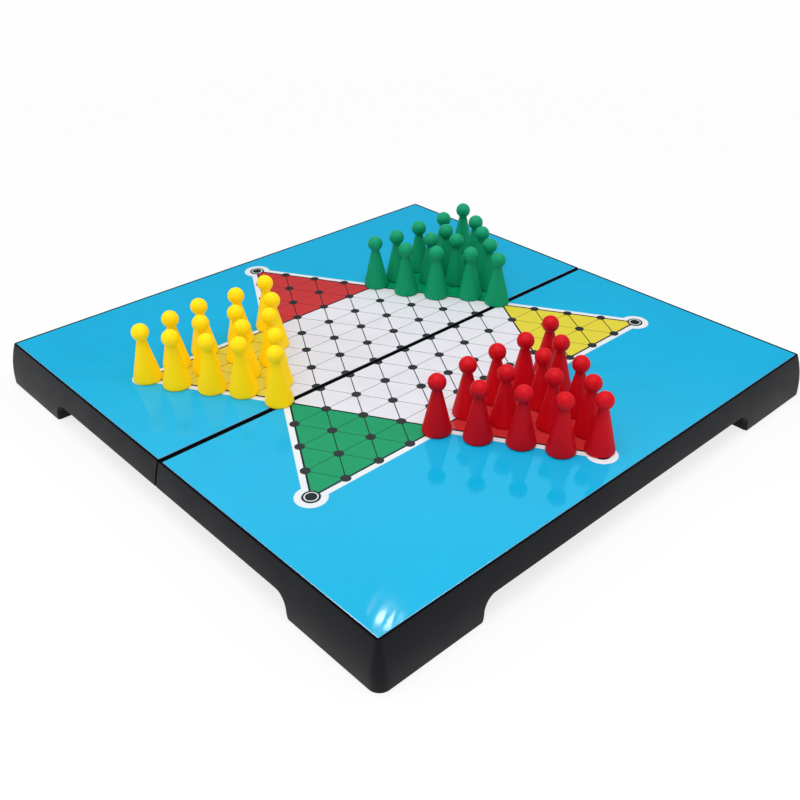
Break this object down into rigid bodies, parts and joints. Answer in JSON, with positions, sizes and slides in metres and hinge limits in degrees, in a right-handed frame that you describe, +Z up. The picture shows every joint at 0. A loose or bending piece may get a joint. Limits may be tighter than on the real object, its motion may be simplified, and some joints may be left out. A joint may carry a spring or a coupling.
{
  "type": "folding chinese checkers set",
  "caption": "Square travel board that folds in half on its underside, with arched feet, a printed star and cone pegs with ball heads.",
  "frame": {"origin": "on the floor under the middle of the fold, with the board open", "axes": "+X along the fold, +Y across it to the half that carries the yellow and green pegs, +Z up out of the board"},
  "size_m": [0.248, 0.25, 0.0446],
  "materials": {
    "case_plastic": "satin",
    "tray_plastic": "matt",
    "printed_film": "gloss print",
    "steel": "plated",
    "peg_yellow": "satin",
    "peg_green": "satin",
    "peg_red": "satin"
  },
  "bodies": {
    "north_half": {"half_shell_north": "case_plastic", "steel_sheet_north": "steel", "surface_film_north": "printed_film", "storage_tray_north": "tray_plastic", "hinge_pin_west": "steel"},
    "south_half": {"half_shell_south": "case_plastic", "steel_sheet_south": "steel", "surface_film_south": "printed_film", "storage_tray_south": "tray_plastic", "hinge_pin_east": "steel"},
    "body_peg_yellow_01": {"peg_yellow_01": "peg_yellow"},
    "body_peg_yellow_02": {"peg_yellow_02": "peg_yellow"},
    "body_peg_yellow_03": {"peg_yellow_03": "peg_yellow"},
    "body_peg_yellow_04": {"peg_yellow_04": "peg_yellow"},
    "body_peg_yellow_05": {"peg_yellow_05": "peg_yellow"},
    "body_peg_yellow_06": {"peg_yellow_06": "peg_yellow"},
    "body_peg_yellow_07": {"peg_yellow_07": "peg_yellow"},
    "body_peg_yellow_08": {"peg_yellow_08": "peg_yellow"},
    "body_peg_yellow_09": {"peg_yellow_09": "peg_yellow"},
    "body_peg_yellow_10": {"peg_yellow_10": "peg_yellow"},
    "body_peg_yellow_11": {"peg_yellow_11": "peg_yellow"},
    "body_peg_yellow_12": {"peg_yellow_12": "peg_yellow"},
    "body_peg_yellow_13": {"peg_yellow_13": "peg_yellow"},
    "body_peg_yellow_14": {"peg_yellow_14": "peg_yellow"},
    "body_peg_yellow_15": {"peg_yellow_15": "peg_yellow"},
    "body_peg_green_01": {"peg_green_01": "peg_green"},
    "body_peg_green_02": {"peg_green_02": "peg_green"},
    "body_peg_green_03": {"peg_green_03": "peg_green"},
    "body_peg_green_04": {"peg_green_04": "peg_green"},
    "body_peg_green_05": {"peg_green_05": "peg_green"},
    "body_peg_green_06": {"peg_green_06": "peg_green"},
    "body_peg_green_07": {"peg_green_07": "peg_green"},
    "body_peg_green_08": {"peg_green_08": "peg_green"},
    "body_peg_green_09": {"peg_green_09": "peg_green"},
    "body_peg_green_10": {"peg_green_10": "peg_green"},
    "body_peg_green_11": {"peg_green_11": "peg_green"},
    "body_peg_green_12": {"peg_green_12": "peg_green"},
    "body_peg_green_13": {"peg_green_13": "peg_green"},
    "body_peg_green_14": {"peg_green_14": "peg_green"},
    "body_peg_green_15": {"peg_green_15": "peg_green"},
    "body_peg_red_01": {"peg_red_01": "peg_red"},
    "body_peg_red_02": {"peg_red_02": "peg_red"},
    "body_peg_red_03": {"peg_red_03": "peg_red"},
    "body_peg_red_04": {"peg_red_04": "peg_red"},
    "body_peg_red_05": {"peg_red_05": "peg_red"},
    "body_peg_red_06": {"peg_red_06": "peg_red"},
    "body_peg_red_07": {"peg_red_07": "peg_red"},
    "body_peg_red_08": {"peg_red_08": "peg_red"},
    "body_peg_red_09": {"peg_red_09": "peg_red"},
    "body_peg_red_10": {"peg_red_10": "peg_red"},
    "body_peg_red_11": {"peg_red_11": "peg_red"},
    "body_peg_red_12": {"peg_red_12": "peg_red"},
    "body_peg_red_13": {"peg_red_13": "peg_red"},
    "body_peg_red_14": {"peg_red_14": "peg_red"},
    "body_peg_red_15": {"peg_red_15": "peg_red"}
  },
  "joints": [
    {"name": "fold", "type": "hinge", "parent": "north_half", "child": "south_half", "pos_m": [0, 0, 0.0016], "axis": [1, 0, 0], "range_deg": [0, 177.5]},
    {"name": "lift_peg_yellow_01", "type": "slide", "parent": "north_half", "child": "body_peg_yellow_01", "axis": [0, 0, 1], "range_m": [0, 0.05]},
    {"name": "lift_peg_yellow_02", "type": "slide", "parent": "north_half", "child": "body_peg_yellow_02", "axis": [0, 0, 1], "range_m": [0, 0.05]},
    {"name": "lift_peg_yellow_03", "type": "slide", "parent": "north_half", "child": "body_peg_yellow_03", "axis": [0, 0, 1], "range_m": [0, 0.05]},
    {"name": "lift_peg_yellow_04", "type": "slide", "parent": "north_half", "child": "body_peg_yellow_04", "axis": [0, 0, 1], "range_m": [0, 0.05]},
    {"name": "lift_peg_yellow_05", "type": "slide", "parent": "north_half", "child": "body_peg_yellow_05", "axis": [0, 0, 1], "range_m": [0, 0.05]},
    {"name": "lift_peg_yellow_06", "type": "slide", "parent": "north_half", "child": "body_peg_yellow_06", "axis": [0, 0, 1], "range_m": [0, 0.05]},
    {"name": "lift_peg_yellow_07", "type": "slide", "parent": "north_half", "child": "body_peg_yellow_07", "axis": [0, 0, 1], "range_m": [0, 0.05]},
    {"name": "lift_peg_yellow_08", "type": "slide", "parent": "north_half", "child": "body_peg_yellow_08", "axis": [0, 0, 1], "range_m": [0, 0.05]},
    {"name": "lift_peg_yellow_09", "type": "slide", "parent": "north_half", "child": "body_peg_yellow_09", "axis": [0, 0, 1], "range_m": [0, 0.05]},
    {"name": "lift_peg_yellow_10", "type": "slide", "parent": "north_half", "child": "body_peg_yellow_10", "axis": [0, 0, 1], "range_m": [0, 0.05]},
    {"name": "lift_peg_yellow_11", "type": "slide", "parent": "north_half", "child": "body_peg_yellow_11", "axis": [0, 0, 1], "range_m": [0, 0.05]},
    {"name": "lift_peg_yellow_12", "type": "slide", "parent": "north_half", "child": "body_peg_yellow_12", "axis": [0, 0, 1], "range_m": [0, 0.05]},
    {"name": "lift_peg_yellow_13", "type": "slide", "parent": "north_half", "child": "body_peg_yellow_13", "axis": [0, 0, 1], "range_m": [0, 0.05]},
    {"name": "lift_peg_yellow_14", "type": "slide", "parent": "north_half", "child": "body_peg_yellow_14", "axis": [0, 0, 1], "range_m": [0, 0.05]},
    {"name": "lift_peg_yellow_15", "type": "slide", "parent": "north_half", "child": "body_peg_yellow_15", "axis": [0, 0, 1], "range_m": [0, 0.05]},
    {"name": "lift_peg_green_01", "type": "slide", "parent": "north_half", "child": "body_peg_green_01", "axis": [0, 0, 1], "range_m": [0, 0.05]},
    {"name": "lift_peg_green_02", "type": "slide", "parent": "north_half", "child": "body_peg_green_02", "axis": [0, 0, 1], "range_m": [0, 0.05]},
    {"name": "lift_peg_green_03", "type": "slide", "parent": "north_half", "child": "body_peg_green_03", "axis": [0, 0, 1], "range_m": [0, 0.05]},
    {"name": "lift_peg_green_04", "type": "slide", "parent": "north_half", "child": "body_peg_green_04", "axis": [0, 0, 1], "range_m": [0, 0.05]},
    {"name": "lift_peg_green_05", "type": "slide", "parent": "north_half", "child": "body_peg_green_05", "axis": [0, 0, 1], "range_m": [0, 0.05]},
    {"name": "lift_peg_green_06", "type": "slide", "parent": "north_half", "child": "body_peg_green_06", "axis": [0, 0, 1], "range_m": [0, 0.05]},
    {"name": "lift_peg_green_07", "type": "slide", "parent": "north_half", "child": "body_peg_green_07", "axis": [0, 0, 1], "range_m": [0, 0.05]},
    {"name": "lift_peg_green_08", "type": "slide", "parent": "north_half", "child": "body_peg_green_08", "axis": [0, 0, 1], "range_m": [0, 0.05]},
    {"name": "lift_peg_green_09", "type": "slide", "parent": "north_half", "child": "body_peg_green_09", "axis": [0, 0, 1], "range_m": [0, 0.05]},
    {"name": "lift_peg_green_10", "type": "slide", "parent": "north_half", "child": "body_peg_green_10", "axis": [0, 0, 1], "range_m": [0, 0.05]},
    {"name": "lift_peg_green_11", "type": "slide", "parent": "north_half", "child": "body_peg_green_11", "axis": [0, 0, 1], "range_m": [0, 0.05]},
    {"name": "lift_peg_green_12", "type": "slide", "parent": "north_half", "child": "body_peg_green_12", "axis": [0, 0, 1], "range_m": [0, 0.05]},
    {"name": "lift_peg_green_13", "type": "slide", "parent": "north_half", "child": "body_peg_green_13", "axis": [0, 0, 1], "range_m": [0, 0.05]},
    {"name": "lift_peg_green_14", "type": "slide", "parent": "north_half", "child": "body_peg_green_14", "axis": [0, 0, 1], "range_m": [0, 0.05]},
    {"name": "lift_peg_green_15", "type": "slide", "parent": "north_half", "child": "body_peg_green_15", "axis": [0, 0, 1], "range_m": [0, 0.05]},
    {"name": "lift_peg_red_01", "type": "slide", "parent": "south_half", "child": "body_peg_red_01", "axis": [0, 0, 1], "range_m": [0, 0.05]},
    {"name": "lift_peg_red_02", "type": "slide", "parent": "south_half", "child": "body_peg_red_02", "axis": [0, 0, 1], "range_m": [0, 0.05]},
    {"name": "lift_peg_red_03", "type": "slide", "parent": "south_half", "child": "body_peg_red_03", "axis": [0, 0, 1], "range_m": [0, 0.05]},
    {"name": "lift_peg_red_04", "type": "slide", "parent": "south_half", "child": "body_peg_red_04", "axis": [0, 0, 1], "range_m": [0, 0.05]},
    {"name": "lift_peg_red_05", "type": "slide", "parent": "south_half", "child": "body_peg_red_05", "axis": [0, 0, 1], "range_m": [0, 0.05]},
    {"name": "lift_peg_red_06", "type": "slide", "parent": "south_half", "child": "body_peg_red_06", "axis": [0, 0, 1], "range_m": [0, 0.05]},
    {"name": "lift_peg_red_07", "type": "slide", "parent": "south_half", "child": "body_peg_red_07", "axis": [0, 0, 1], "range_m": [0, 0.05]},
    {"name": "lift_peg_red_08", "type": "slide", "parent": "south_half", "child": "body_peg_red_08", "axis": [0, 0, 1], "range_m": [0, 0.05]},
    {"name": "lift_peg_red_09", "type": "slide", "parent": "south_half", "child": "body_peg_red_09", "axis": [0, 0, 1], "range_m": [0, 0.05]},
    {"name": "lift_peg_red_10", "type": "slide", "parent": "south_half", "child": "body_peg_red_10", "axis": [0, 0, 1], "range_m": [0, 0.05]},
    {"name": "lift_peg_red_11", "type": "slide", "parent": "south_half", "child": "body_peg_red_11", "axis": [0, 0, 1], "range_m": [0, 0.05]},
    {"name": "lift_peg_red_12", "type": "slide", "parent": "south_half", "child": "body_peg_red_12", "axis": [0, 0, 1], "range_m": [0, 0.05]},
    {"name": "lift_peg_red_13", "type": "slide", "parent": "south_half", "child": "body_peg_red_13", "axis": [0, 0, 1], "range_m": [0, 0.05]},
    {"name": "lift_peg_red_14", "type": "slide", "parent": "south_half", "child": "body_peg_red_14", "axis": [0, 0, 1], "range_m": [0, 0.05]},
    {"name": "lift_peg_red_15", "type": "slide", "parent": "south_half", "child": "body_peg_red_15", "axis": [0, 0, 1], "range_m": [0, 0.05]}
  ]
}
